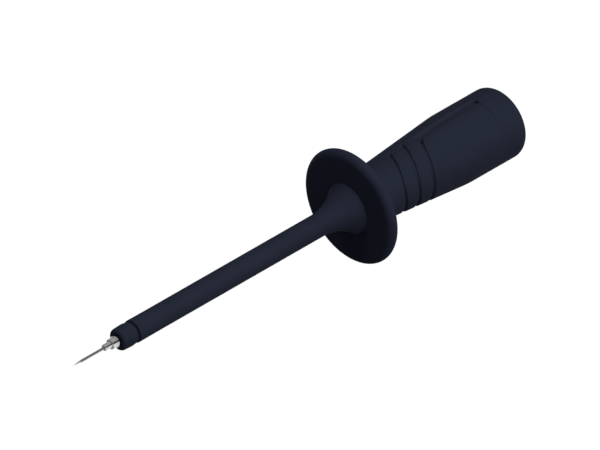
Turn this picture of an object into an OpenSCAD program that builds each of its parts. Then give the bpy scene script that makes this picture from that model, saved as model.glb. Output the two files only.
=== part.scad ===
// Safety test probe with a spring-loaded needle, a slim insulated shaft, a round
// hand guard and a grip with a shrouded 4 mm socket in its rear end.
// The probe lies along X: needle towards -X, grip towards +X, +Z up.
// The origin is the centre of the socket contact's mouth.
// Stations are distances along the axis from the needle's point.

/* [Needle] */
// Diameter of the needle
needle_d = 0.7; // [0.5:0.05:0.9]
// Length of the ground point
point_len = 2.6; // [1.4:0.1:3.6]
// Length of needle that stands out of its barrel at rest
needle_out = 10.5; // [9:0.5:14]
// How far the needle springs back
needle_travel = 4; // [2:0.5:5]
// Length of the guided head inside the barrel
head_len = 4; // [3:0.5:6]
// Length of the guide pin that enters the spring
guide_len = 1.5; // [1:0.25:2.5]

/* [Needle spring] */
// Room left between the turns at full travel
spring_spare = 6.5; // [4:0.5:9]
// Wire diameter of the spring
spring_wire = 0.16; // [0.12:0.01:0.18]
// Number of turns
spring_turns = 22; // [14:1:26]

/* [Needle barrel] */
// Outer diameter of the barrel
barrel_d = 1.8; // [1.7:0.05:2]
// Wall of the barrel
barrel_wall = 0.25; // [0.2:0.01:0.3]
// Length of barrel that stands out of its receptacle
barrel_out = 2.2; // [1.5:0.1:3]
// Thickness of the lip that keeps the needle in
lip_t = 1.1; // [0.8:0.1:1.4]
// Thickness of the closed rear end
barrel_end_t = 1; // [0.6:0.1:1.5]

/* [Receptacle] */
// Diameter of the collar
collar_d = 2.8; // [2.6:0.05:2.9]
// Length of the collar
collar_len = 1.3; // [0.8:0.1:2]
// Wall of the receptacle behind its collar
receptacle_wall = 0.23; // [0.15:0.01:0.3]
// Thickness of the receptacle's closed rear end
receptacle_end_t = 1; // [0.6:0.1:1.5]

/* [Conductor rod] */
// Diameter of the rod
rod_d = 3.15; // [3.05:0.05:3.3]
// Length of rod that stands out of the nose
rod_out = 0.95; // [0.5:0.05:2]
// Diameter of the reduced rear end, soldered in the socket contact
rod_tail_d = 2.2; // [1.6:0.1:2.6]
// Length of the reduced rear end
rod_tail_len = 4.5; // [3:0.5:6]

/* [Nose bush] */
// Length of the nose that shows in front of the shaft
nose_len = 4.7; // [3:0.1:7]
// Diameter at the front of the nose
nose_tip_d = 5.8; // [5.4:0.1:6]
// Rounding of the nose's front edge
nose_round = 0.75; // [0.3:0.05:1]
// Diameter of the spigot inside the shaft
nose_spigot_d = 4.8; // [4.4:0.1:5]
// Length of the spigot inside the shaft
nose_spigot_len = 6; // [4:0.5:10]
// Width of the groove between nose and shaft
nose_groove_w = 0.7; // [0.55:0.05:1]
// Thickness of the sealing ring in that groove
seal_t = 0.5; // [0.3:0.05:0.55]

/* [Shaft] */
// Diameter of the insulated shaft
shaft_d = 6; // [5.8:0.1:7]
// Length from the groove to the guard
shaft_len = 73.85; // [60:0.5:110]
// Length of the trumpet in front of the guard
flare_len = 10.3; // [6:0.1:12]
// Radius of the trumpet's curve
flare_r = 16; // [15:0.5:22]
// Diameter of the threaded tail behind the trumpet
tail_d = 6.8; // [6:0.1:7.2]
// Length of tail that stands out of the shaft nut
tail_out = 1; // [0.5:0.25:2]
// Outer diameter of the insulating liner
liner_d = 3.9; // [3.7:0.05:4.1]
// Length of liner that stands out of the tail
liner_out = 1; // [0.5:0.25:2]

/* [Guard] */
// Diameter of the hand guard
guard_d = 30.9; // [24:0.5:40]
// Thickness of the guard, fully rounded at its rim
guard_t = 3; // [2:0.1:4.5]

/* [Grip] */
// Length of the grip behind the guard
grip_len = 51.2; // [50:0.5:70]
// Diameter where the grip meets the guard
neck_d = 13.4; // [13.2:0.1:15]
// Diameter of the grip's straight rear part
grip_d = 19; // [18:0.5:22]
// Length of the tapered part
taper_len = 32.7; // [26:0.5:36]
// Rounding of the rear edge
rear_round = 2.5; // [1:0.1:2.6]
// Fillet between grip and guard
neck_fillet = 2; // [1:0.25:3]

/* [Grip grooves] */
// Number of grooves
groove_count = 3; // [1:1:4]
// Distance of the first groove behind the guard, where it comes nearest
groove_first = 9.6; // [6:0.1:12]
// Distance from groove to groove
groove_pitch = 4.65; // [3.5:0.05:6]
// Depth of a groove
groove_depth = 0.45; // [0.2:0.05:0.6]
// Rearward slant of a groove per unit of depth of the grip
groove_rake = 0.31; // [0.1:0.01:0.4]
// How far the slant is turned from the finger side towards the underside
groove_turn = 20; // [0:5:30]

/* [Grip core] */
// Diameter of the core behind the guard
core_front_d = 11.2; // [11.1:0.1:11.6]
// Diameter of the core around the socket
core_rear_d = 14.4; // [14.2:0.1:15]
// Wall of the core around its front chamber
core_wall = 1; // [0.8:0.05:1.1]
// Thickness of the core's front end
core_front_t = 3; // [2:0.25:4]
// Length of the narrow front part of the core
core_front_len = 12.8; // [10:0.5:14]
// Length over which the core widens
core_cone_len = 8; // [6:0.5:9]
// Thickness of the shaft nut
shaft_nut_t = 3; // [2:0.25:3.5]
// Thickness of the spring washer under the shaft nut
spring_washer_t = 0.6; // [0.4:0.1:1]

/* [Socket] */
// Bore of the socket contact, which takes a 4 mm plug
socket_d = 4; // [3.9:0.05:4.1]
// Depth of the contact's bore
socket_depth = 21; // [18:0.5:22]
// Wall of the contact
contact_wall = 0.6; // [0.4:0.05:0.65]
// Distance from the mouth of the insulating post to the contact's mouth
contact_recess = 2.5; // [2:0.25:4]
// Distance from the rear face to the mouth of the insulating post
post_recess = 1; // [0.5:0.25:1.5]
// Diameter of the insulating post
post_d = 6.4; // [6.2:0.05:6.7]
// Hole in the mouth of the post
post_hole_d = 4.4; // [4.35:0.05:4.6]
// Bore of the shroud around the post
shroud_d = 9.2; // [9:0.1:9.6]
// Outer diameter of the socket insert inside the core
insert_d = 12; // [11.6:0.1:12.2]
// Diameter of the insert's rear flange
flange_d = 13.2; // [12.8:0.1:13.4]
// Thickness of the rear flange
flange_t = 1.5; // [1:0.1:2]
// Thickness of the bulkhead that carries the contact
bulkhead_t = 3; // [2:0.25:4]
// Thickness of the contact's solid bottom
contact_bottom_t = 1.5; // [1:0.25:2]

/* [Contact fixing] */
// Diameter of the contact's threaded stem
stem_d = 4; // [3.6:0.1:4.4]
// Length of the stem in front of the insert
stem_out = 6; // [5:0.5:6.5]
// Depth of the solder cup in the stem's end
cup_depth = 5; // [4.75:0.25:7]
// Thickness of the washer
washer_t = 0.6; // [0.4:0.1:1]
// Diameter of the washer
washer_d = 7.6; // [7:0.2:8.4]
// Thickness of the lock nut
lock_nut_t = 2.4; // [2:0.1:3]
// Lock nut across its flats
lock_nut_af = 7; // [6:0.5:7.5]

/* [Locking pin] */
// Diameter of the pin
pin_d = 1; // [0.8:0.1:1.6]
// Distance of the pin from the rear face
pin_from_rear = 8.8; // [6:0.2:12]
// How far the pin leans from straight up, away from the finger side
pin_angle = 3.9; // [0:0.1:6]
// How far the pin is driven below the grip's surface
pin_sink = 0.6; // [0.3:0.1:1.2]
// How far the pin enters the insert's wall
pin_bite = 1; // [0.6:0.1:1.1]

/* [Fits] */
// Clearance per side where the needle slides
slide_gap = 0.03; // [0.02:0.01:0.05]
// Clearance per side where pieces are screwed, pressed or moulded together
seat_gap = 0.03; // [0.02:0.01:0.05]

/* [Hidden] */
$fn = 72;

// How far a cutting shape reaches past the face that it opens.
over = 1;

// Length of the spring at rest: its turns pressed together, the travel and the spare room.
spring_len = spring_turns * spring_wire + needle_travel + spring_spare;

// Stations of the needle group.
barrel_front = needle_out;
barrel_bore_front = barrel_front + lip_t;
head_front = barrel_bore_front + slide_gap;
head_back = head_front + head_len;
spring_front = head_back + slide_gap;
spring_back = spring_front + spring_len;
barrel_bore_back = spring_back + slide_gap;
barrel_back = barrel_bore_back + barrel_end_t;
collar_front = barrel_front + barrel_out;
collar_back = collar_front + collar_len;
receptacle_bore_back = barrel_back + seat_gap;
receptacle_back = receptacle_bore_back + receptacle_end_t;
rod_bore_back = receptacle_back + seat_gap;

// Stations of the nose and the shaft.
nose_front = collar_back + rod_out;
nose_back = nose_front + nose_len;
shaft_front = nose_back + nose_groove_w;
spigot_back = shaft_front + nose_spigot_len;
liner_front = spigot_back + seat_gap;
guard_front = shaft_front + shaft_len;
flare_front = guard_front - flare_len;
guard_back = guard_front + guard_t;

// Stations of the grip.
core_chamber_front = guard_back + core_front_t;
washer_back = core_chamber_front + spring_washer_t;
shaft_nut_back = washer_back + shaft_nut_t;
tail_back = shaft_nut_back + tail_out;
liner_back = tail_back + liner_out;
core_cone_front = guard_back + core_front_len;
core_cone_back = core_cone_front + core_cone_len;
taper_back = guard_back + taper_len;
rear = guard_back + grip_len;
flange_front = rear - flange_t;
pin_station = rear - pin_from_rear;

// Stations of the socket.
post_mouth = rear - post_recess;
socket_mouth = post_mouth - contact_recess;
socket_bottom = socket_mouth - socket_depth;
bulkhead_back = socket_bottom - contact_bottom_t;
insert_front = bulkhead_back - bulkhead_t;
stem_front = insert_front - stem_out;
cup_back = stem_front + cup_depth;
lock_washer_front = insert_front - washer_t;
lock_nut_front = lock_washer_front - lock_nut_t;

// Diameters that fit together.
barrel_bore_d = barrel_d - 2 * barrel_wall;
head_d = barrel_bore_d - 2 * slide_gap;
guide_d = head_d / 2;
lip_hole_d = needle_d + 2 * slide_gap;
receptacle_bore_d = barrel_d + 2 * seat_gap;
receptacle_d = receptacle_bore_d + 2 * receptacle_wall;
rod_bore_d = receptacle_d + 2 * seat_gap;
rod_seat_d = rod_d + 2 * seat_gap;
spring_mean_d = (barrel_bore_d - 2 * slide_gap + guide_d) / 2;
liner_seat_d = liner_d + 2 * seat_gap;
tail_seat_d = tail_d + 2 * seat_gap;
chamber_d = core_front_d - 2 * core_wall;
shaft_nut_d = chamber_d - 4 * seat_gap;
contact_d = socket_d + 2 * contact_wall;
stem_seat_d = stem_d + 2 * seat_gap;
cup_d = rod_tail_d + 2 * seat_gap;
pin_seat_d = pin_d + 2 * seat_gap;
flare_d = shaft_d + 2 * (flare_r - sqrt(pow(flare_r, 2) - pow(flare_len, 2)));

// Radius of the grip's smooth outside at a station.
function grip_r(station) =
    let (share = min(1, max(0, (station - guard_back) / taper_len)))
    (neck_d + (grip_d - neck_d) * share) / 2;

// Stands children, made along +Z, on the probe's axis at a station.
module at(station) {
    translate([station - socket_mouth, 0, 0]) rotate([0, 90, 0]) children();
}

// A plain round bar from one station to another.
module bar(front, back, d) {
    at(front) cylinder(h = back - front, d = d);
}

// A straight tube from one station to another.
module tube(front, back, outer_d, inner_d) {
    difference() {
        bar(front, back, outer_d);
        bar(front - over, back + over, inner_d);
    }
}

// A turned solid from its half outline, as [station, radius] points.
module turned(outline) {
    at(0) rotate_extrude() polygon([for (p = outline) [p[1], p[0]]]);
}

// A bar whose front edge is rounded.
module round_front_bar(front, back, d, edge) {
    at(front) rotate_extrude() union() {
        square([d / 2 - edge, edge]);
        translate([0, edge]) square([d / 2, back - front - edge]);
        intersection() {
            translate([d / 2 - edge, edge]) circle(r = edge);
            square([d / 2, edge]);
        }
    }
}

// The needle: ground point, slim stem, guided head and the pin inside the spring.
module needle() {
    color("#B9BBBD") union() {
        turned([[0, 0], [point_len, needle_d / 2], [head_front, needle_d / 2], [head_front, 0]]);
        bar(head_front, head_back, head_d);
        bar(head_back, head_back + guide_len, guide_d);
    }
}

// One ring of points around the spring's wire, at an angle along the coil.
spring_steps = 8;
spring_sides = 6;
function spring_point(turn, side) =
    let (around = 360 * turn,
         section = 360 * side / spring_sides,
         r = spring_mean_d / 2 + spring_wire / 2 * cos(section),
         rise = (spring_len - spring_wire) * turn / spring_turns)
    [r * cos(around), r * sin(around), rise + spring_wire / 2 + spring_wire / 2 * sin(section)];

// The compression spring between the needle's head and the barrel's end.
module needle_spring() {
    rings = spring_turns * spring_steps;
    points = [for (ring = [0:rings], side = [0:spring_sides - 1])
        spring_point(ring / spring_steps, side)];
    walls = [for (ring = [0:rings - 1], side = [0:spring_sides - 1])
        let (a = ring * spring_sides + side,
             b = ring * spring_sides + (side + 1) % spring_sides)
        each [[a, a + spring_sides, b + spring_sides], [a, b + spring_sides, b]]];
    first_cap = [for (side = [0:spring_sides - 1]) side];
    last_cap = [for (side = [spring_sides - 1:-1:0]) rings * spring_sides + side];
    color("#C8C9CB") at(spring_front) polyhedron(points, concat(walls, [first_cap, last_cap]));
}

// The drawn barrel that guides the needle, with its front rolled to a lip.
module needle_barrel() {
    color("#D3D3D2") difference() {
        round_front_bar(barrel_front, barrel_back, barrel_d, barrel_wall);
        bar(barrel_front - over, barrel_back - barrel_end_t, lip_hole_d);
        bar(barrel_bore_front, barrel_bore_back, barrel_bore_d);
    }
}

// The collared receptacle that the barrel plugs into.
module needle_receptacle() {
    color("#D3D3D2") difference() {
        union() {
            bar(collar_front, collar_back, collar_d);
            bar(collar_back, receptacle_back, receptacle_d);
        }
        bar(collar_front - over, receptacle_bore_back, receptacle_bore_d);
    }
}

// The brass rod from the needle's receptacle to the socket contact.
module conductor_rod() {
    color("#C9CACB") difference() {
        union() {
            bar(collar_back, stem_front - seat_gap, rod_d);
            bar(stem_front - seat_gap, stem_front + rod_tail_len, rod_tail_d);
        }
        bar(collar_back - over, rod_bore_back, rod_bore_d);
    }
}

// The liner that insulates the rod inside the shaft.
module liner_tube() {
    color("#E8E6DE") tube(liner_front, liner_back, liner_d, rod_seat_d);
}

// The insulating nose with its rounded front and the spigot inside the shaft.
module nose_bush() {
    color("#272A37") difference() {
        union() {
            at(nose_front) rotate_extrude() union() {
                square([nose_tip_d / 2 - nose_round, nose_round]);
                intersection() {
                    translate([nose_tip_d / 2 - nose_round, nose_round]) circle(r = nose_round);
                    square([nose_tip_d / 2, nose_round]);
                }
                polygon([[0, nose_round], [nose_tip_d / 2, nose_round],
                         [shaft_d / 2, nose_len], [0, nose_len]]);
            }
            bar(nose_back, spigot_back, nose_spigot_d);
        }
        bar(nose_front - over, spigot_back + over, rod_seat_d);
    }
}

// The sealing ring in the groove between nose and shaft.
module nose_seal() {
    color("#111217") at(nose_back + nose_groove_w / 2) rotate_extrude()
        translate([nose_spigot_d / 2 + seat_gap + seal_t / 2, 0]) circle(d = seal_t);
}

// The insulated shaft with its trumpet and the threaded tail behind it.
module shaft_sleeve() {
    color("#272A37") difference() {
        union() {
            bar(shaft_front, flare_front, shaft_d);
            at(flare_front) rotate_extrude() difference() {
                square([flare_d / 2, flare_len]);
                translate([shaft_d / 2 + flare_r, 0]) circle(r = flare_r);
            }
            bar(guard_front, tail_back, tail_d);
        }
        bar(shaft_front - over, liner_front, nose_spigot_d + 2 * seat_gap);
        bar(liner_front - over, tail_back + over, liner_seat_d);
    }
}

// The round hand guard, clamped between the trumpet and the core.
module hand_guard() {
    rim_r = guard_t / 2;
    color("#20232E") at(guard_front) rotate_extrude() union() {
        translate([tail_seat_d / 2, 0]) square([(guard_d - tail_seat_d) / 2 - rim_r, guard_t]);
        translate([guard_d / 2 - rim_r, rim_r]) circle(r = rim_r);
    }
}

// The spring washer that keeps the shaft nut tight.
module spring_washer() {
    color("#A9ABAE") tube(core_chamber_front, washer_back, shaft_nut_d, tail_seat_d);
}

// The round nut that pulls shaft, guard and core together.
module shaft_nut() {
    color("#C2A25A") tube(washer_back, shaft_nut_back, shaft_nut_d, tail_seat_d);
}

// The hole for the locking pin, from outside the grip down to a radius.
module pin_hole(down_to, d) {
    rotate([-pin_angle, 0, 0]) translate([pin_station - socket_mouth, 0, down_to])
        cylinder(h = grip_d, d = d);
}

// The outside of the core, which the cover is moulded on to.
module core_outside(gap, back) {
    turned([[guard_back, 0],
            [guard_back, core_front_d / 2 + gap],
            [core_cone_front, core_front_d / 2 + gap],
            [core_cone_back, core_rear_d / 2 + gap],
            [back, core_rear_d / 2 + gap],
            [back, 0]]);
}

// The rigid core: front chamber for the shaft nut, rear bore for the insert.
module grip_core() {
    color("#3A3E4A") difference() {
        core_outside(0, flange_front);
        bar(guard_back - over, core_chamber_front + over, tail_seat_d);
        bar(core_chamber_front, insert_front + over, chamber_d);
        bar(insert_front, flange_front + over, insert_d + 2 * seat_gap);
        pin_hole(0, pin_seat_d);
    }
}

// One slanted groove, given the station where its deepest line comes nearest to the guard.
module grip_groove(station) {
    tilt = atan(groove_rake);
    ring_r = (grip_r(station) - groove_depth) / cos(tilt);
    reach = 3 * groove_depth;
    intersection() {
        rotate([groove_turn, 0, 0])
            translate([station - socket_mouth + ring_r * sin(tilt), 0, 0]) rotate([0, 90, -tilt])
                rotate_extrude() polygon([[ring_r, -groove_depth / 4], [ring_r, 0],
                                          [ring_r + reach, reach / 2],
                                          [ring_r + reach, -2 * reach]]);
        translate([guard_front - socket_mouth, -grip_d, -grip_d])
            cube([grip_len, grip_d, 2 * grip_d]);
    }
}

// The grip's cover: fillet at the guard, taper, straight rear part and rounded end.
module grip_cover() {
    color("#272A37") difference() {
        at(0) rotate_extrude() union() {
            polygon([[0, guard_back], [neck_d / 2, guard_back], [grip_d / 2, taper_back],
                     [grip_d / 2, rear - rear_round], [grip_d / 2 - rear_round, rear - rear_round],
                     [grip_d / 2 - rear_round, rear], [0, rear]]);
            translate([grip_d / 2 - rear_round, rear - rear_round]) circle(r = rear_round);
            difference() {
                translate([0, guard_back]) square([neck_d / 2 + neck_fillet, neck_fillet]);
                translate([neck_d / 2 + neck_fillet, guard_back + neck_fillet])
                    circle(r = neck_fillet);
            }
        }
        core_outside(seat_gap, flange_front);
        bar(guard_back - over, guard_back + over, core_front_d + 2 * seat_gap);
        bar(flange_front - over, rear + over, flange_d + 2 * seat_gap);
        for (i = [0:groove_count - 1]) grip_groove(guard_back + groove_first + i * groove_pitch);
        pin_hole(0, pin_seat_d);
    }
}

// The insert in the rear of the core: flange, shroud and the bulkhead for the contact.
module socket_insert() {
    color("#1E212B") difference() {
        union() {
            bar(insert_front, flange_front, insert_d);
            bar(flange_front, rear, flange_d);
        }
        bar(bulkhead_back, rear + over, shroud_d);
        bar(insert_front - over, bulkhead_back + over, stem_seat_d);
        pin_hole(insert_d / 2 - pin_bite - seat_gap, pin_seat_d);
    }
}

// The insulating post around the contact, closed in to a smaller hole at its mouth.
module socket_post() {
    color("#1E212B") difference() {
        bar(bulkhead_back, post_mouth, post_d);
        bar(bulkhead_back - over, socket_mouth, contact_d + 2 * seat_gap);
        bar(socket_mouth - over, post_mouth + over, post_hole_d);
    }
}

// The turned contact: bored for the plug, with a stem and a solder cup in front.
module socket_contact() {
    color("#D0C9B4") difference() {
        union() {
            bar(bulkhead_back, socket_mouth, contact_d);
            bar(stem_front, bulkhead_back, stem_d);
        }
        bar(socket_bottom, socket_mouth + over, socket_d);
        bar(stem_front - over, cup_back, cup_d);
    }
}

// The flat washer between the insert and the lock nut.
module contact_washer() {
    color("#B8BABD") tube(lock_washer_front, insert_front, washer_d, stem_seat_d);
}

// The hexagon nut that clamps the contact to the insert.
module lock_nut() {
    color("#C2A25A") difference() {
        at(lock_nut_front) cylinder(h = lock_nut_t, d = lock_nut_af / cos(30), $fn = 6);
        bar(lock_nut_front - over, lock_washer_front + over, stem_seat_d);
    }
}

// The dowel pin through cover and core that locks the insert.
module lock_pin() {
    pin_foot = insert_d / 2 - pin_bite;
    color("#8E9094") rotate([-pin_angle, 0, 0])
        translate([pin_station - socket_mouth, 0, pin_foot])
            cylinder(h = grip_d / 2 - pin_sink - pin_foot, d = pin_d);
}

needle();
needle_spring();
needle_barrel();
needle_receptacle();
conductor_rod();
liner_tube();
nose_bush();
nose_seal();
shaft_sleeve();
hand_guard();
spring_washer();
shaft_nut();
grip_core();
grip_cover();
socket_insert();
socket_post();
socket_contact();
contact_washer();
lock_nut();
lock_pin();
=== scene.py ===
import math

import bpy
import numpy as np
from mathutils import Matrix, Vector


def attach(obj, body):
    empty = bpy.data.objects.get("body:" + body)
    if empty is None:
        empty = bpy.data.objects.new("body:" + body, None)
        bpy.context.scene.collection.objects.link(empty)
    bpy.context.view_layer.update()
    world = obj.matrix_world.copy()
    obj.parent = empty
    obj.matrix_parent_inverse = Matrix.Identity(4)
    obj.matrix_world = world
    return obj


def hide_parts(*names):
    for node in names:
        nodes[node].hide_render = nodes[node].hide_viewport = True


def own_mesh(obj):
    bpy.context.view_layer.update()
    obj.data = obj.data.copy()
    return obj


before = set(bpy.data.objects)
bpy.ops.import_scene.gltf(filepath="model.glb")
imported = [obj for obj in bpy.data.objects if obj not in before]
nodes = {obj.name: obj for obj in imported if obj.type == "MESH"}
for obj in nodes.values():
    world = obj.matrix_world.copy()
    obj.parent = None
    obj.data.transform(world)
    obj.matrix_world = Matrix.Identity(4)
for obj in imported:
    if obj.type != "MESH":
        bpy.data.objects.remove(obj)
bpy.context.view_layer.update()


# --- Needle -----------------------------------------------------------------
# A slim steel needle, ground to a long point. The point's steel is painted far lighter than
# the rest of the needle, as a painted highlight. Its thicker head slides in the barrel and
# the pin behind the head enters the spring.
MM = 0.001
SOCKET_MOUTH = 144.9  # stations are mm behind the needle's point; the origin is at this one
GAP = 0.03  # clearance between pieces that slide or are seated in each other, in mm


def rounded(outline, steps=5):
    """Replaces corners of a half outline by arcs. A corner is (station, radius, rounding).
    Where there is room, an arc gets a lead-in point, which keeps the flats beside it flat."""
    corners = [np.array(c[:2], float) for c in outline]
    edges = [c[2] if len(c) > 2 else 0.0 for c in outline]
    points = []
    for i, (corner, edge) in enumerate(zip(corners, edges)):
        if edge == 0.0:
            points.append(tuple(corner))
            continue
        before = corners[i - 1] - corner
        after = corners[(i + 1) % len(corners)] - corner
        room_before, room_after = np.linalg.norm(before), np.linalg.norm(after)
        before, after = before / room_before, after / room_after
        half = math.acos(max(-1.0, min(1.0, float(before @ after)))) / 2
        reach = edge / math.tan(half)
        middle = corner + (before + after) / np.linalg.norm(before + after) * edge / math.sin(half)
        start, end = corner + before * reach, corner + after * reach
        lead = min(0.35 * edge, 0.08)
        if room_before > 2 * (reach + lead):
            points.append(tuple(start + before * lead))
        a, b = start - middle, end - middle
        sweep = math.acos(max(-1.0, min(1.0, float(a @ b) / edge**2)))
        for k in range(steps + 1):
            share = k / steps
            points.append(tuple(middle + (a * math.sin((1 - share) * sweep)
                                          + b * math.sin(share * sweep)) / math.sin(sweep)))
        if room_after > 2 * (reach + lead):
            points.append(tuple(end + after * lead))
    return points


def skin(name, rings, closed):
    """A mesh round the probe's axis from rings of points; a ring of one point is a pole."""
    points, starts = [], []
    for ring in rings:
        starts.append(len(points))
        points.extend(ring)
    faces = []
    pairs = list(zip(range(len(rings) - 1), range(1, len(rings))))
    if closed:
        pairs.append((len(rings) - 1, 0))
    around = max(len(ring) for ring in rings)
    for i, j in pairs:
        a, b = starts[i], starts[j]
        for k in range(around):
            n = (k + 1) % around
            if len(rings[i]) == 1:
                faces.append((a, b + n, b + k))
            elif len(rings[j]) == 1:
                faces.append((a + k, a + n, b))
            else:
                faces.append((a + k, a + n, b + n, b + k))
    mesh = bpy.data.meshes.new(name)
    mesh.from_pydata([tuple(p) for p in points], [], faces)
    mesh.shade_smooth()
    mesh.set_sharp_from_angle(angle=math.radians(28))
    piece = bpy.data.objects.new(name, mesh)
    bpy.context.scene.collection.objects.link(piece)
    return piece


def ring_at(station, radius, around):
    """One ring of points in metres, or the pole where the radius is nothing."""
    x = (station - SOCKET_MOUTH) * MM
    if radius < 1e-6:
        return [(x, 0.0, 0.0)]
    angles = np.arange(around) * 2 * math.pi / around
    return [(x, radius * MM * math.cos(a), radius * MM * math.sin(a)) for a in angles]


def turned_piece(name, outline, around=96, bored=False, steps=5):
    """A lathe-turned piece from its half outline, front to back outside and back inside."""
    points = rounded(outline, steps)
    return skin(name, [ring_at(x, r, around) for x, r in points], bored)


def new_material(name, **sockets):
    """A principled material with its constant sockets set."""
    material = bpy.data.materials.new(name)
    material.use_nodes = True
    shader = material.node_tree.nodes["Principled BSDF"]
    for socket, value in sockets.items():
        shader.inputs[socket.replace("_", " ")].default_value = value
    return material, material.node_tree, shader


def span(tree, value, low, high):
    """Spreads a noise value over a range."""
    node = tree.nodes.new("ShaderNodeMapRange")
    node.inputs["From Min"].default_value = 0.3
    node.inputs["From Max"].default_value = 0.7
    node.inputs["To Min"].default_value = low
    node.inputs["To Max"].default_value = high
    tree.links.new(value, node.inputs["Value"])
    return node.outputs["Result"]


def noise(tree, vector, size, detail=2.0):
    """A noise whose lumps are about as large as size, in metres."""
    node = tree.nodes.new("ShaderNodeTexNoise")
    node.inputs["Scale"].default_value = 1 / size
    node.inputs["Detail"].default_value = detail
    tree.links.new(vector, node.inputs["Vector"])
    return node.outputs["Fac"]


def two_tone(tree, value, first, second):
    """A colour between two, by a value from 0 to 1."""
    node = tree.nodes.new("ShaderNodeMix")
    node.data_type = "RGBA"
    node.inputs["A"].default_value = (*first, 1)
    node.inputs["B"].default_value = (*second, 1)
    tree.links.new(value, node.inputs["Factor"])
    return node.outputs["Result"]


def bump(tree, shader, height, depth):
    """Raises the surface by a height from 0 to 1, times depth in metres."""
    node = tree.nodes.new("ShaderNodeBump")
    node.inputs["Distance"].default_value = depth
    tree.links.new(height, node.inputs["Height"])
    tree.links.new(node.outputs["Normal"], shader.inputs["Normal"])


def turned_metal(name, bright, dull, roughness, ring=0.00005, depth=0.0000012):
    """Turned metal: fine rings round the axis and on flat ends, with faint clouding."""
    material, tree, shader = new_material(name, Metallic=1.0)
    coords = tree.nodes.new("ShaderNodeTexCoord").outputs["Object"]
    apart = tree.nodes.new("ShaderNodeSeparateXYZ")
    tree.links.new(coords, apart.inputs["Vector"])
    across = tree.nodes.new("ShaderNodeCombineXYZ")
    tree.links.new(apart.outputs["Y"], across.inputs["Y"])
    tree.links.new(apart.outputs["Z"], across.inputs["Z"])
    radius = tree.nodes.new("ShaderNodeVectorMath")
    radius.operation = "LENGTH"
    tree.links.new(across.outputs["Vector"], radius.inputs[0])
    lathe = tree.nodes.new("ShaderNodeCombineXYZ")
    tree.links.new(apart.outputs["X"], lathe.inputs["X"])
    tree.links.new(radius.outputs["Value"], lathe.inputs["Y"])
    rings = noise(tree, lathe.outputs["Vector"], ring)
    clouds = noise(tree, coords, 0.0012)
    tree.links.new(two_tone(tree, span(tree, clouds, 0.0, 1.0), bright, dull),
                   shader.inputs["Base Color"])
    tree.links.new(span(tree, rings, roughness * 0.8, roughness * 1.25),
                   shader.inputs["Roughness"])
    bump(tree, shader, rings, depth)
    return material


NEEDLE_R, POINT_LEN = 0.35, 2.6
HEAD_FRONT, HEAD_BACK, HEAD_R, GUIDE_R, GUIDE_LEN = 11.63, 15.63, 0.62, 0.31, 1.5
needle = turned_piece("spring_needle", [
    (0, 0), (0.03, 0.006), (POINT_LEN, NEEDLE_R, 1.2), (HEAD_FRONT, NEEDLE_R),
    (HEAD_FRONT, HEAD_R, 0.06), (HEAD_BACK, HEAD_R, 0.08), (HEAD_BACK, GUIDE_R),
    (HEAD_BACK + GUIDE_LEN, GUIDE_R, 0.1), (HEAD_BACK + GUIDE_LEN, 0)], around=64)
needle.data.materials.append(turned_metal("needle_steel", (0.38, 0.38, 0.385),
                                          (0.34, 0.34, 0.345), 0.40, ring=0.00004))
needle.data.materials.append(turned_metal("ground_steel", (0.88, 0.88, 0.87),
                                          (0.82, 0.82, 0.81), 0.55, ring=0.00004))
# Faces on the point get the lighter copy of the needle's steel: a painted highlight.
for face in needle.data.polygons:
    face.material_index = int(face.center.x < (POINT_LEN - SOCKET_MOUTH) * MM)
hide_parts("needle")
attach(needle, "needle")


# --- Needle spring ----------------------------------------------------------
# A compression spring of bright wire with closed end turns. It stands on the barrel's
# closed end and pushes on the needle's head.
SPRING_FRONT, SPRING_LEN, SPRING_R, WIRE_R, SPRING_TURNS = 15.66, 14.02, 0.465, 0.08, 22


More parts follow.
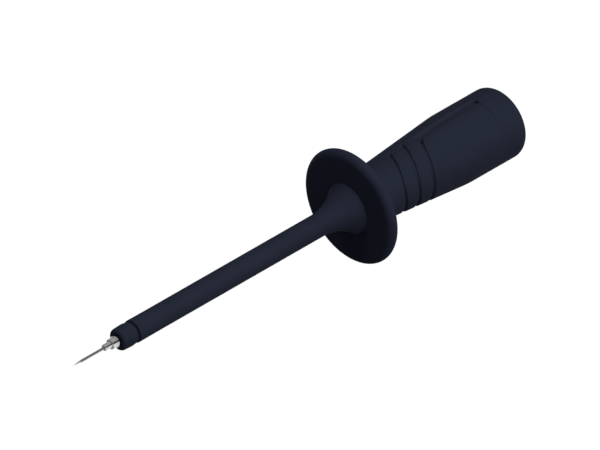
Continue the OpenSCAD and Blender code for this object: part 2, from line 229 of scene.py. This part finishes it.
def wound_spring():
    """A tree that winds a wire with a closed turn at each end along +X."""
    tree = bpy.data.node_groups.new("wound_spring", "GeometryNodeTree")
    face = tree.interface
    face.new_socket("Geometry", in_out="OUTPUT", socket_type="NodeSocketGeometry")
    for name, kind in (("Turns", "Float"), ("Coil radius", "Float"), ("Wire radius", "Float"),
                       ("Length", "Float"), ("Front", "Float"), ("Finish", "Material")):
        face.new_socket(name, in_out="INPUT", socket_type="NodeSocket" + kind)
    add, link = tree.nodes.new, tree.links.new
    given = add("NodeGroupInput").outputs

    def math_node(kind, *values):
        node = add("ShaderNodeMath")
        node.operation = kind
        for slot, value in zip(node.inputs, values):
            if isinstance(value, (int, float)):
                slot.default_value = value
            else:
                link(value, slot)
        return node.outputs["Value"]

    def part_of(value, low, high, rise):
        node = add("ShaderNodeMapRange")
        for slot, item in (("Value", value), ("From Min", low), ("From Max", high),
                           ("To Max", rise)):
            if isinstance(item, (int, float)):
                node.inputs[slot].default_value = item
            else:
                link(item, node.inputs[slot])
        return node.outputs["Result"]

    line = add("GeometryNodeCurvePrimitiveLine")
    dense = add("GeometryNodeResampleCurve")
    link(line.outputs["Curve"], dense.inputs["Curve"])
    link(math_node("MULTIPLY", given["Turns"], 20), dense.inputs["Count"])
    share = add("GeometryNodeSplineParameter").outputs["Factor"]
    turn = math_node("MULTIPLY", share, given["Turns"])
    angle = math_node("MULTIPLY", turn, 2 * math.pi)
    wire = math_node("MULTIPLY", given["Wire radius"], 2)
    last = math_node("SUBTRACT", given["Turns"], 1)
    open_len = math_node("SUBTRACT", given["Length"], math_node("MULTIPLY", wire, 3))
    rise = math_node("ADD", part_of(turn, 0, 1, wire), part_of(turn, last, given["Turns"], wire))
    rise = math_node("ADD", rise, part_of(turn, 1, last, open_len))
    place = add("ShaderNodeCombineXYZ")
    link(math_node("ADD", math_node("ADD", rise, given["Front"]), given["Wire radius"]),
         place.inputs["X"])
    link(math_node("MULTIPLY", math_node("COSINE", angle), given["Coil radius"]),
         place.inputs["Y"])
    link(math_node("MULTIPLY", math_node("SINE", angle), given["Coil radius"]),
         place.inputs["Z"])
    bend = add("GeometryNodeSetPosition")
    link(dense.outputs["Curve"], bend.inputs["Geometry"])
    link(place.outputs["Vector"], bend.inputs["Position"])
    section = add("GeometryNodeCurvePrimitiveCircle")
    section.inputs["Resolution"].default_value = 10
    link(given["Wire radius"], section.inputs["Radius"])
    sweep = add("GeometryNodeCurveToMesh")
    sweep.inputs["Fill Caps"].default_value = True
    link(bend.outputs["Geometry"], sweep.inputs["Curve"])
    link(section.outputs["Curve"], sweep.inputs["Profile Curve"])
    plain = add("GeometryNodeRealizeInstances")
    link(sweep.outputs["Mesh"], plain.inputs["Geometry"])
    dressed = add("GeometryNodeSetMaterial")
    link(plain.outputs["Geometry"], dressed.inputs["Geometry"])
    link(given["Finish"], dressed.inputs["Material"])
    link(dressed.outputs["Geometry"], add("NodeGroupOutput").inputs["Geometry"])
    return tree


def grown(name, tree, **values):
    """Runs a tree with its named inputs and keeps the result as a plain mesh."""
    seed = bpy.data.objects.new(name, bpy.data.meshes.new(name))
    bpy.context.scene.collection.objects.link(seed)
    grower = seed.modifiers.new("grow", "NODES")
    grower.node_group = tree
    for item in tree.interface.items_tree:
        if item.in_out == "INPUT":
            grower[item.identifier] = values[item.name.replace(" ", "_")]
    result = bpy.data.meshes.new_from_object(
        seed.evaluated_get(bpy.context.evaluated_depsgraph_get()))
    seed.modifiers.clear()
    seed.data = result
    result.name = name
    result.shade_smooth()
    result.set_sharp_from_angle(angle=math.radians(50))
    return seed


spring_steel = turned_metal("spring_steel", (0.60, 0.60, 0.61), (0.48, 0.48, 0.50), 0.22)
spring = grown("compression_spring", wound_spring(), Turns=SPRING_TURNS,
               Coil_radius=SPRING_R * MM, Wire_radius=WIRE_R * MM, Length=SPRING_LEN * MM,
               Front=(SPRING_FRONT - SOCKET_MOUTH) * MM, Finish=spring_steel)
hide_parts("needle_spring")
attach(spring, "probe")
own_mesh(spring)


# --- Needle barrel ----------------------------------------------------------
# The first bright step behind the needle: a drawn tube of plated brass, with its front
# rolled in to a lip that keeps the needle's head.
BARREL_FRONT, BARREL_BACK, BARREL_R, BARREL_BORE_R, BARREL_END = 10.5, 30.71, 0.9, 0.65, 1.0
LIP_BACK, LIP_HOLE_R = 11.6, 0.38
nickel_plate = turned_metal("nickel_plate", (0.70, 0.70, 0.69), (0.62, 0.62, 0.61), 0.15)
barrel = turned_piece("guide_barrel", [
    (BARREL_FRONT, LIP_HOLE_R, 0.05), (BARREL_FRONT, BARREL_R, 0.25),
    (BARREL_BACK, BARREL_R, 0.1), (BARREL_BACK, 0), (BARREL_BACK - BARREL_END, 0),
    (BARREL_BACK - BARREL_END, BARREL_BORE_R), (LIP_BACK, BARREL_BORE_R),
    (LIP_BACK, LIP_HOLE_R)], around=72)
barrel.data.materials.append(nickel_plate)
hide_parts("needle_barrel")
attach(barrel, "probe")


# --- Needle receptacle ------------------------------------------------------
# The second bright step: a plated tube with a turned collar, pressed into the rod. The
# barrel plugs into it, so that a worn needle can be changed.
COLLAR_FRONT, COLLAR_BACK, COLLAR_R = 12.7, 14.0, 1.4
RECEPTACLE_BACK, RECEPTACLE_R = 31.74, 1.16
receptacle = turned_piece("collared_receptacle", [
    (COLLAR_FRONT, BARREL_R + GAP, 0.04), (COLLAR_FRONT, COLLAR_R, 0.12),
    (COLLAR_BACK, COLLAR_R, 0.06), (COLLAR_BACK, RECEPTACLE_R),
    (RECEPTACLE_BACK, RECEPTACLE_R, 0.1), (RECEPTACLE_BACK, 0), (BARREL_BACK + GAP, 0),
    (BARREL_BACK + GAP, BARREL_R + GAP)], around=80)
receptacle.data.materials.append(nickel_plate)
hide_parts("needle_receptacle")
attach(receptacle, "probe")


# --- Conductor rod ----------------------------------------------------------
# The third bright step is the end of a plated brass rod that runs through the whole shaft.
# Its reduced rear end is soldered in the cup of the socket contact.
ROD_R, ROD_TAIL_FRONT, ROD_TAIL_BACK, ROD_TAIL_R = 1.575, 113.37, 117.87, 1.1
rod = turned_piece("plated_rod", [
    (COLLAR_BACK, RECEPTACLE_R + GAP), (COLLAR_BACK, ROD_R, 0.08), (ROD_TAIL_FRONT, ROD_R, 0.1),
    (ROD_TAIL_FRONT, ROD_TAIL_R), (ROD_TAIL_BACK, ROD_TAIL_R, 0.15), (ROD_TAIL_BACK, 0),
    (RECEPTACLE_BACK + GAP, 0), (RECEPTACLE_BACK + GAP, RECEPTACLE_R + GAP)], around=80)
rod.data.materials.append(nickel_plate)
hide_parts("conductor_rod")
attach(rod, "probe")


# --- Liner tube -------------------------------------------------------------
# An extruded tube of natural white plastic, slid over the rod as the first layer of
# insulation. It is hidden inside the shaft.
def moulded_plastic(name, colour, roughness, specular, grain=0.00022, depth=0.000006):
    """Moulded plastic: a fine even grain, faint flow clouding and a slightly uneven sheen."""
    material, tree, shader = new_material(name, Specular_IOR_Level=specular)
    coords = tree.nodes.new("ShaderNodeTexCoord").outputs["Object"]
    texture = noise(tree, coords, grain, 4.0)
    flow = noise(tree, coords, 0.009, 3.0)
    colour = np.array(colour)
    tree.links.new(two_tone(tree, span(tree, flow, 0.0, 1.0), colour * 0.95, colour * 1.05),
                   shader.inputs["Base Color"])
    tree.links.new(span(tree, flow, roughness - 0.03, roughness + 0.03),
                   shader.inputs["Roughness"])
    bump(tree, shader, texture, depth)
    return material


def dress(node, material):
    """Gives a node of the frame its finish."""
    nodes[node].data.materials.clear()
    nodes[node].data.materials.append(material)


dress("liner_tube", moulded_plastic("liner_plastic", (0.80, 0.79, 0.74), 0.35, 0.5))


# --- Nose bush --------------------------------------------------------------
# A moulded nose with a well rounded front edge, glued into the shaft by its spigot. It
# centres the rod and swells slightly towards the groove behind it.
SHAFT_PLASTIC = (0.0193, 0.0232, 0.0382)
shaft_plastic = moulded_plastic("shaft_plastic", SHAFT_PLASTIC, 0.8, 0.015)
NOSE_FRONT, NOSE_BACK, SPIGOT_R, SPIGOT_BACK = 14.95, 19.7, 2.4, 26.35
nose = turned_piece("nose_cap", [
    (NOSE_FRONT, ROD_R + GAP, 0.1), (NOSE_FRONT, 2.87, 0.9), (18.2, 3.02, 2.5),
    (NOSE_BACK, 2.83, 0.08), (NOSE_BACK, SPIGOT_R), (SPIGOT_BACK, SPIGOT_R, 0.2),
    (SPIGOT_BACK, ROD_R + GAP, 0.1)], around=128, bored=True, steps=9)
nose.data.materials.append(shaft_plastic)
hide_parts("nose_bush")
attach(nose, "probe")


# --- Nose seal --------------------------------------------------------------
# A soft rubber ring in the groove between nose and shaft, which keeps moisture out. Only
# its outer side shows, as a dark line.
SEAL_FRONT, SEAL_BACK = 19.72, 20.33
seal = turned_piece("sealing_ring", [
    (SEAL_FRONT, SPIGOT_R + GAP), (SEAL_FRONT, 2.74, 0.1), (20.05, 2.78, 0.6),
    (SEAL_BACK, 2.92, 0.06), (SEAL_BACK, SPIGOT_R + GAP)], around=96, bored=True)
seal.data.materials.append(moulded_plastic("seal_rubber", (0.0070, 0.0074, 0.0150), 0.75, 0.03))
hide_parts("nose_seal")
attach(seal, "probe")


# --- Shaft sleeve -----------------------------------------------------------
# The long insulated shaft, moulded in one piece with the trumpet that runs up to the guard
# and with the tail that takes the shaft nut. Its front edge is broken a little.
SHAFT_FRONT, SHAFT_R, FLARE_FRONT, GUARD_FRONT, FLARE_ARC = 20.35, 3.0, 83.9, 94.2, 16.0
TAIL_BACK, TAIL_R, LINER_SEAT_R = 104.8, 3.4, 1.98
trumpet = []
for x in np.linspace(0, GUARD_FRONT - FLARE_FRONT, 29):
    trumpet.append((FLARE_FRONT + x, SHAFT_R + FLARE_ARC - math.sqrt(FLARE_ARC**2 - x**2)))
shaft = turned_piece("insulated_shaft", [
    (SHAFT_FRONT, SPIGOT_R + GAP), (SHAFT_FRONT, SHAFT_R + 0.04, 0.12), (22.5, SHAFT_R + 0.03),
    (26, SHAFT_R), (40, SHAFT_R), (62, SHAFT_R), (82.5, SHAFT_R), *trumpet,
    (GUARD_FRONT, TAIL_R), (TAIL_BACK, TAIL_R, 0.3), (TAIL_BACK, LINER_SEAT_R),
    (SPIGOT_BACK + GAP, LINER_SEAT_R), (SPIGOT_BACK + GAP, SPIGOT_R + GAP)],
    around=160, bored=True)
shaft.data.materials.append(shaft_plastic)
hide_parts("shaft_sleeve")
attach(shaft, "probe")


# --- Hand guard -------------------------------------------------------------
# A flat moulded disc with a fully rounded rim, clamped between the trumpet and the grip. It
# keeps the fingers away from the needle.
GUARD_BACK, GUARD_R, RIM_R, RIM_WIDTH, FLAT_R = 97.2, 15.45, 1.5, 1.95, 13.2
guard_plastic = moulded_plastic("guard_plastic", (0.0210, 0.0240, 0.0428), 0.8, 0.015)
rim = []
for a in np.linspace(0, math.pi, 25):
    rim.append((GUARD_FRONT + RIM_R * (1 - math.cos(a)),
                GUARD_R - RIM_WIDTH * (1 - math.sin(a))))
guard = turned_piece("guard_disc", [
    (GUARD_FRONT, TAIL_R + GAP), (GUARD_FRONT, 8.0), (GUARD_FRONT, FLAT_R), *rim,
    (GUARD_BACK, FLAT_R), (GUARD_BACK, 8.0), (GUARD_BACK, TAIL_R + GAP)], around=192, bored=True)
guard.data.materials.append(guard_plastic)
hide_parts("hand_guard")
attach(guard, "probe")


# --- Spring washer and shaft nut --------------------------------------------
# The nut on the shaft's tail pulls shaft, guard and core together; the washer of spring
# steel keeps it tight. Both sit in the core's front chamber.
turned_brass = turned_metal("brass", (0.62, 0.46, 0.20), (0.54, 0.39, 0.16), 0.3)
washer_steel = turned_metal("washer_steel", (0.52, 0.52, 0.53), (0.44, 0.44, 0.46), 0.38)
dress("spring_washer", washer_steel)
dress("shaft_nut", turned_brass)


# --- Grip core --------------------------------------------------------------
# The rigid carrier inside the grip, moulded of filled plastic. The cover is moulded on to
# its outside, and the socket insert sits in its rear bore.
dress("grip_core", moulded_plastic("core_plastic", (0.040, 0.045, 0.060), 0.5, 0.4))


# --- Grip cover -------------------------------------------------------------
# The thick grip, moulded over the core in the same blue-black plastic as the shaft. Three
# slanted finger grooves cross its near side, and a shallow panel lies behind the third.
# Turns are degrees round the grip, from its upper outline down over the finger side.
NECK_R, GRIP_R, TAPER_BACK, REAR, REAR_ROUND, NECK_FILLET = 6.7, 9.5, 129.9, 148.4, 2.5, 2.0
CORE_FRONT_R, CORE_REAR_R, FLANGE_FRONT, FLANGE_R = 5.6, 7.2, 146.9, 6.6
GROOVES, GROOVE_DROP = (107.49, 112.03, 116.68), 1.15
GROOVE_TOPS, GROOVE_HEADS, GROOVE_END = (33.0, 32.0, 43.5), (0.12, 0.12, 0.35), 228
GROOVE_DEPTH, DEEPER_UP, DEEPER_DOWN = 0.43, 0.15, 0.17
GROOVE_WALL, LONGER_UP, LONGER_DOWN = 0.24, 0.22, 0.36
SLANT, SLANT_LOSS, SLANT_TURN, SLANT_TWIST = 3.13, 0.037, 123, 1.26
PANEL_DEPTH, PANEL_FRONT, PANEL_REAR = 0.60, 112.8, 139.9


def soft(value, low, high):
    """0 before low, 1 after high, with a smooth change between them."""
    share = np.clip((value - low) / (high - low), 0, 1)
    return share * share * (3 - 2 * share)


def grip_radius(station):
    """The grip's taper, running softly into its straight rear part."""
    slope = (GRIP_R - NECK_R) / (TAPER_BACK - GUARD_BACK)
    short = (TAPER_BACK - station) * slope
    bend = 0.06
    return GRIP_R - (short + np.sqrt(short * short + bend * bend)) / 2


def slanted(row, turn):
    """The station of a point of a row. Near the grooves the rows slant back round the grip
    as the grooves do, with a hook at the third one's top."""
    behind = row - GROOVES[0]
    from_front = np.clip(turn - SLANT_TURN - SLANT_TWIST * behind, -92, 92)
    slant = (SLANT - SLANT_LOSS * behind) * (1 - np.cos(np.radians(from_front)))
    slant = slant * soft(row, 99.2, 104.5) * (1 - soft(row, 121, 131))
    hook = soft(turn, 38, 43) * np.clip((64 - turn) / 22, 0, 1) ** 2
    return row + slant + hook * soft(row, 112.6, 115.2) * (1 - soft(row, 117.4, 121.5))


def towards_ends(turn):
    """How near a turn is to a groove's upper end and to its lower one, from 0 to 1."""
    return np.clip((75 - turn) / 33, 0, 1), np.clip((turn - 105) / 45, 0, 1)


def wall_length(turn):
    """The length of a groove's rear wall: short on the finger side, longer at its two ends."""
    upper, lower = towards_ends(turn)
    return GROOVE_WALL + LONGER_UP * upper**2 + LONGER_DOWN * lower**2


def carving(row, turn):
    """How deep the grip is carved: the deepest groove at a point, and the panel's depth."""
    upper, lower = towards_ends(turn)
    deep = np.zeros_like(turn)
    for groove, top, head in zip(GROOVES, GROOVE_TOPS, GROOVE_HEADS):
        depth = GROOVE_DEPTH + DEEPER_UP * upper + DEEPER_DOWN * lower
        depth = depth + head * np.exp(-((turn - top - 5) / 4) ** 2)
        foot = groove - wall_length(turn) / 2
        drop = soft(row, foot - GROOVE_DROP, foot)
        share = np.clip((row - foot) / wall_length(turn), 0, 1)
        climb = share - 0.85 * np.sin(2 * math.pi * share) / (2 * math.pi)
        ends = soft(turn, top - 2.5, top + 2.5)
        ends = ends * (1 - soft(turn, GROOVE_END - 3, GROOVE_END + 3))
        deep = np.maximum(deep, depth * ends * drop * (1 - climb))
    across = soft(turn, 31, 38) * (1 - 0.30 * soft(turn, 38, 50) - 0.70 * soft(turn, 50, 150))
    along = soft(row, PANEL_FRONT, PANEL_FRONT + 5)
    along = along * (1 - 0.4 * soft(row, 134, PANEL_REAR)
                     - 0.6 * soft(row, PANEL_REAR, PANEL_REAR + 0.3))
    return deep + PANEL_DEPTH * across * along


# The mesh is fine where the grooves, their ends and the panel's edges are.
turns = np.array([*np.arange(29, 52, 0.4), *np.arange(52, 222, 1.2), *np.arange(222, 234, 0.6),
                  *np.arange(234, 389, 1.25)])
angles = np.radians(turns + 45)
rows = [np.full_like(turns, x) for x in np.arange(GUARD_BACK + NECK_FILLET, 105.7, 0.45)]
for groove in GROOVES:
    rows += [groove - wall_length(turns) / 2 - back
             for back in (1.3, 1.15, 1, 0.8, 0.6, 0.4, 0.2, 0.1)]
    rows += [groove + wall_length(turns) * share
             for share in (-0.5, -0.42, -0.34, -0.24, -0.12, 0, 0.12, 0.24, 0.34, 0.42, 0.5)]
    rows += [np.full_like(turns, groove + ahead) for ahead in (1.3, 1.8, 2.3, 2.8)]
rows += [np.full_like(turns, x) for x in np.arange(119.8, 139.5, 0.6)]
rows += [np.full_like(turns, PANEL_REAR + behind)
         for behind in (-0.2, 0, 0.07, 0.15, 0.23, 0.3, 0.4, 0.9)]
rows += [np.full_like(turns, x) for x in np.arange(141.5, REAR - REAR_ROUND - 0.2, 0.8)]
FRONT_EDGE = [(GUARD_BACK, CORE_FRONT_R + GAP)]
FRONT_EDGE += [(GUARD_BACK + NECK_FILLET * (1 - math.cos(a)),
                NECK_R + 0.08 + NECK_FILLET * (1 - math.sin(a)))
               for a in np.radians(np.arange(0, 90, 9))]
REAR_EDGE = [(REAR - REAR_ROUND + REAR_ROUND * math.sin(a),
              GRIP_R - REAR_ROUND + REAR_ROUND * math.cos(a))
             for a in np.radians(np.arange(0, 91, 5))]
REAR_EDGE += [(REAR, FLANGE_R + GAP + 0.1), (REAR - 0.1, FLANGE_R + GAP),
              (FLANGE_FRONT, FLANGE_R + GAP), (FLANGE_FRONT, CORE_REAR_R + GAP),
              (118.0, CORE_REAR_R + GAP), (110.0, CORE_FRONT_R + GAP)]
carved = []
for row in rows:
    x = slanted(row, turns % 360)
    carved.append((x, grip_radius(x) - carving(row, turns % 360)))
plain = [[(np.full_like(turns, x), np.full_like(turns, r)) for x, r in edge]
         for edge in (FRONT_EDGE, REAR_EDGE)]
rings = [list(zip((x - SOCKET_MOUTH) * MM, r * MM * np.cos(angles), r * MM * np.sin(angles)))
         for x, r in [*plain[0], *carved, *plain[1]]]
grip = skin("grip_cover_shell", rings, True)

PIN_STATION, PIN_HOLE_R, PIN_LEAN = 139.6, 0.53, math.radians(3.9)


def drilled(piece, foot, top, around=48):
    """Cuts the locking pin's hole, which leans away from the finger side, into a piece."""
    cutter_mesh = bpy.data.meshes.new("drill")
    points = []
    for reach in (foot, top):
        for a in np.arange(around) * 2 * math.pi / around:
            aside = PIN_HOLE_R * math.sin(a)
            points.append(((PIN_STATION - SOCKET_MOUTH + PIN_HOLE_R * math.cos(a)) * MM,
                           (aside * math.cos(PIN_LEAN) + reach * math.sin(PIN_LEAN)) * MM,
                           (reach * math.cos(PIN_LEAN) - aside * math.sin(PIN_LEAN)) * MM))
    faces = [tuple(range(around))[::-1], tuple(range(around, 2 * around))]
    faces += [(k, (k + 1) % around, around + (k + 1) % around, around + k) for k in range(around)]
    cutter_mesh.from_pydata(points, [], faces)
    cutter = bpy.data.objects.new("drill", cutter_mesh)
    bpy.context.scene.collection.objects.link(cutter)
    cut = piece.modifiers.new("drill", "BOOLEAN")
    cut.operation, cut.solver, cut.object = "DIFFERENCE", "EXACT", cutter
    result = bpy.data.meshes.new_from_object(
        piece.evaluated_get(bpy.context.evaluated_depsgraph_get()))
    piece.modifiers.clear()
    piece.data = result
    result.set_sharp_from_angle(angle=math.radians(28))
    bpy.data.objects.remove(cutter)
    return piece


drilled(grip, 6.0, 12.0)
grip.data.materials.append(moulded_plastic("grip_plastic", SHAFT_PLASTIC, 0.8, 0.015))
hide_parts("grip_cover")
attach(grip, "probe")


# --- Socket insert and post -------------------------------------------------
# The insert closes the grip's rear end and carries the contact in its bulkhead. The post
# stands round the contact, so that a shrouded plug covers all live metal.
insert_plastic = moulded_plastic("insert_plastic", (0.010, 0.012, 0.018), 0.5, 0.12)
INSERT_FRONT, INSERT_R, BULKHEAD_BACK, SHROUD_R = 119.4, 6.0, 122.4, 4.6
STEM_R, CONTACT_R, POST_R, POST_MOUTH, POST_MOUTH_R = 2.0, 2.6, 3.2, 147.4, 2.2
insert = turned_piece("rear_insert", [
    (INSERT_FRONT, STEM_R + GAP), (INSERT_FRONT, INSERT_R, 0.2), (FLANGE_FRONT, INSERT_R),
    (FLANGE_FRONT, FLANGE_R), (REAR, FLANGE_R, 0.15), (REAR, SHROUD_R, 0.4),
    (BULKHEAD_BACK, SHROUD_R), (BULKHEAD_BACK, STEM_R + GAP)], around=128, bored=True)
drilled(insert, 4.97, 8.0)
post = turned_piece("contact_post", [
    (BULKHEAD_BACK, CONTACT_R + GAP), (BULKHEAD_BACK, POST_R), (POST_MOUTH, POST_R, 0.3),
    (POST_MOUTH, POST_MOUTH_R, 0.2), (SOCKET_MOUTH, POST_MOUTH_R),
    (SOCKET_MOUTH, CONTACT_R + GAP)], around=96, bored=True)
for piece, node in ((insert, "socket_insert"), (post, "socket_post")):
    piece.data.materials.append(insert_plastic)
    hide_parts(node)
    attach(piece, "probe")


# --- Socket contact ---------------------------------------------------------
# A turned brass contact, nickel plated, bored for a 4 mm plug. Its threaded stem goes
# through the bulkhead and ends in the cup that takes the rod.
contact_nickel = turned_metal("contact_nickel", (0.72, 0.69, 0.62), (0.64, 0.61, 0.54), 0.25)
STEM_FRONT, CUP_BACK, BORE_BOTTOM, BORE_R = 113.4, 118.4, 123.9, 2.0
contact = turned_piece("plug_contact", [
    (STEM_FRONT, ROD_TAIL_R + GAP, 0.1), (STEM_FRONT, STEM_R, 0.25), (BULKHEAD_BACK, STEM_R),
    (BULKHEAD_BACK, CONTACT_R), (SOCKET_MOUTH, CONTACT_R, 0.1), (SOCKET_MOUTH, BORE_R, 0.25),
    (BORE_BOTTOM, BORE_R), (BORE_BOTTOM, 0), (CUP_BACK, 0), (CUP_BACK, ROD_TAIL_R + GAP)],
    around=96)
contact.data.materials.append(contact_nickel)
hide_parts("socket_contact")
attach(contact, "probe")


# --- Contact washer and lock nut --------------------------------------------
# The hexagon nut of turned brass sits on the contact's stem and clamps the contact to the
# bulkhead. The plain washer of steel under it spreads its load.
dress("contact_washer", washer_steel)
dress("lock_nut", turned_brass)


# --- Lock pin ---------------------------------------------------------------
# A dowel pin of dark steel, driven down through cover and core into the insert, and sunk
# below the grip's surface.
dress("lock_pin", turned_metal("pin_steel", (0.050, 0.054, 0.068), (0.034, 0.038, 0.050), 0.5))


# --- Floor, light and camera ------------------------------------------------
# A plain pale floor below the probe, soft lamps all round, and a camera that looks down on
# the probe from its needle end and finger side. Only metal mirrors the grey card and the
# backdrop's shades.
FLOOR_Z, FLOOR_SHADE, FLOOR_GLOW, CARD_SHADE = -0.060, 0.12, 0.93, 0.36


def seen(tree):
    """1 for a ray that shows a background: one from the camera, or by way of metal or glass."""
    path = tree.nodes.new("ShaderNodeLightPath").outputs
    either = tree.nodes.new("ShaderNodeMath")
    either.operation = "MAXIMUM"
    tree.links.new(path["Is Camera Ray"], either.inputs[0])
    tree.links.new(path["Is Glossy Ray"], either.inputs[1])
    every = tree.nodes.new("ShaderNodeMath")
    every.operation = "MAXIMUM"
    tree.links.new(either.outputs["Value"], every.inputs[0])
    tree.links.new(path["Is Transmission Ray"], every.inputs[1])
    return every.outputs["Value"]


floor_mesh = bpy.data.meshes.new("floor")
floor_mesh.from_pydata([(x, y, FLOOR_Z) for x, y in ((-6, -6), (6, -6), (6, 6), (-6, 6))], [],
                       [(0, 1, 2, 3)])
floor = bpy.data.objects.new("floor", floor_mesh)
bpy.context.scene.collection.objects.link(floor)
floor_material, tree, shader = new_material(
    "floor_pale", Roughness=1.0, Specular_IOR_Level=0.0,
    Base_Color=(FLOOR_SHADE, FLOOR_SHADE, FLOOR_SHADE, 1))
glow = tree.nodes.new("ShaderNodeEmission")
glow.inputs["Strength"].default_value = FLOOR_GLOW
both = tree.nodes.new("ShaderNodeAddShader")
tree.links.new(shader.outputs["BSDF"], both.inputs[0])
tree.links.new(glow.outputs["Emission"], both.inputs[1])
pick = tree.nodes.new("ShaderNodeMixShader")
tree.links.new(seen(tree), pick.inputs["Fac"])
tree.links.new(shader.outputs["BSDF"], pick.inputs[1])
tree.links.new(both.outputs["Shader"], pick.inputs[2])
tree.links.new(pick.outputs["Shader"], tree.nodes["Material Output"].inputs["Surface"])
floor.data.materials.append(floor_material)

card_mesh = bpy.data.meshes.new("grey_card")
card_mesh.from_pydata([(x, y, FLOOR_Z + 0.001) for x, y in (
    (-0.40, -0.02), (-0.165, -0.02), (-0.165, 0.25), (-0.40, 0.25))], [], [(0, 1, 2, 3)])
card = bpy.data.objects.new("grey_card", card_mesh)
bpy.context.scene.collection.objects.link(card)
card_material, tree, shader = new_material(
    "card_grey", Roughness=1.0, Specular_IOR_Level=0.0,
    Base_Color=(CARD_SHADE, CARD_SHADE, CARD_SHADE, 1))
card.data.materials.append(card_material)
card.visible_camera = card.visible_diffuse = card.visible_shadow = False

# The backdrop's shade by degrees of rise, from below the front, over the top, to the back.
LOWEST, HIGHEST = -5, 185
BACKDROP_SHADES = ((14, 0.25), (19, 0.02), (35, 0.02), (45, 0.18), (55, 0.38), (63, 0.46),
                   (80, 0.40), (111, 0.52), (147, 0.33))
world = bpy.data.worlds.new("studio")
world.use_nodes = True
bpy.context.scene.world = world
tree = world.node_tree
fill = tree.nodes["Background"]
fill.inputs["Color"].default_value = (1, 1, 1, 1)
fill.inputs["Strength"].default_value = 0.06
backdrop = tree.nodes.new("ShaderNodeBackground")
backdrop.inputs["Strength"].default_value = 1.0
way = tree.nodes.new("ShaderNodeSeparateXYZ")
tree.links.new(tree.nodes.new("ShaderNodeTexCoord").outputs["Generated"], way.inputs["Vector"])
towards_front = tree.nodes.new("ShaderNodeMath")
towards_front.operation = "MULTIPLY"
towards_front.inputs[1].default_value = -1
tree.links.new(way.outputs["Y"], towards_front.inputs[0])
rise = tree.nodes.new("ShaderNodeMath")
rise.operation = "ARCTAN2"
tree.links.new(way.outputs["Z"], rise.inputs[0])
tree.links.new(towards_front.outputs["Value"], rise.inputs[1])
across = tree.nodes.new("ShaderNodeMapRange")
across.inputs["From Min"].default_value = math.radians(LOWEST)
across.inputs["From Max"].default_value = math.radians(HIGHEST)
tree.links.new(rise.outputs["Value"], across.inputs["Value"])
walls = tree.nodes.new("ShaderNodeValToRGB")
tree.links.new(across.outputs["Result"], walls.inputs["Fac"])
ramp = walls.color_ramp
ramp.elements[0].position, ramp.elements[0].color = 0.0, (1, 1, 1, 1)
ramp.elements[1].position, ramp.elements[1].color = 1.0, (0.25, 0.25, 0.25, 1)
for place, shade in BACKDROP_SHADES:
    spot = ramp.elements.new((place - LOWEST) / (HIGHEST - LOWEST))
    spot.color = (shade, shade, shade, 1)
tree.links.new(walls.outputs["Color"], backdrop.inputs["Color"])
pick = tree.nodes.new("ShaderNodeMixShader")
tree.links.new(seen(tree), pick.inputs["Fac"])
tree.links.new(fill.outputs["Background"], pick.inputs[1])
tree.links.new(backdrop.outputs["Background"], pick.inputs[2])
tree.links.new(pick.outputs["Shader"], tree.nodes["World Output"].inputs["Surface"])

LIT_PLACE = Vector((-0.07, 0, 0))


def softbox(name, direction, share, width=0.5, height=1.3, distance=1.6):
    """A lamp panel, aimed at the probe, that lights a white face turned to it by a share."""
    lamp = bpy.data.lights.new(name, "AREA")
    lamp.shape, lamp.size, lamp.size_y = "RECTANGLE", width, height
    lamp.energy = share * math.pi**2 * distance**2
    stand = bpy.data.objects.new(name, lamp)
    bpy.context.scene.collection.objects.link(stand)
    way = Vector(direction).normalized()
    stand.location = LIT_PLACE + way * distance
    stand.rotation_euler = way.to_track_quat("Z", "Y").to_euler()
    stand.visible_glossy = False


softbox("lamp_top", (-0.16, 0.10, 0.98), 0.45)
softbox("lamp_front", (-0.03, -0.84, 0.54), 0.72)
softbox("lamp_back", (0.0, 0.998, 0.06), 0.14, width=1.3, height=0.2)
softbox("lamp_rear", (0.88, -0.42, 0.21), 0.213)

# A long lens, turned a little about its own axis. It looks along the diagonal of a cube.
LENS, DISTANCE, ROLL = 1200.0, 4.907, math.radians(0.192)
AIM, ASIDE, ABOVE = Vector((-0.05, 0, 0)), -0.01210, -0.00432
back = Vector((-1, -1, 1)).normalized()
level = Vector((1, -1, 0)).normalized()
upright = back.cross(level)
right = level * math.cos(ROLL) + upright * math.sin(ROLL)
up = upright * math.cos(ROLL) - level * math.sin(ROLL)
camera = bpy.data.cameras.new("camera")
camera.lens, camera.sensor_width = LENS, 36.0
camera.clip_start, camera.clip_end = 0.1, 50.0
tripod = bpy.data.objects.new("camera", camera)
bpy.context.scene.collection.objects.link(tripod)
tripod.location = AIM + right * ASIDE + up * ABOVE + back * DISTANCE
tripod.rotation_euler = Matrix((right, up, back)).transposed().to_euler()
bpy.context.scene.camera = tripod
bpy.context.scene.view_settings.view_transform = "Standard"
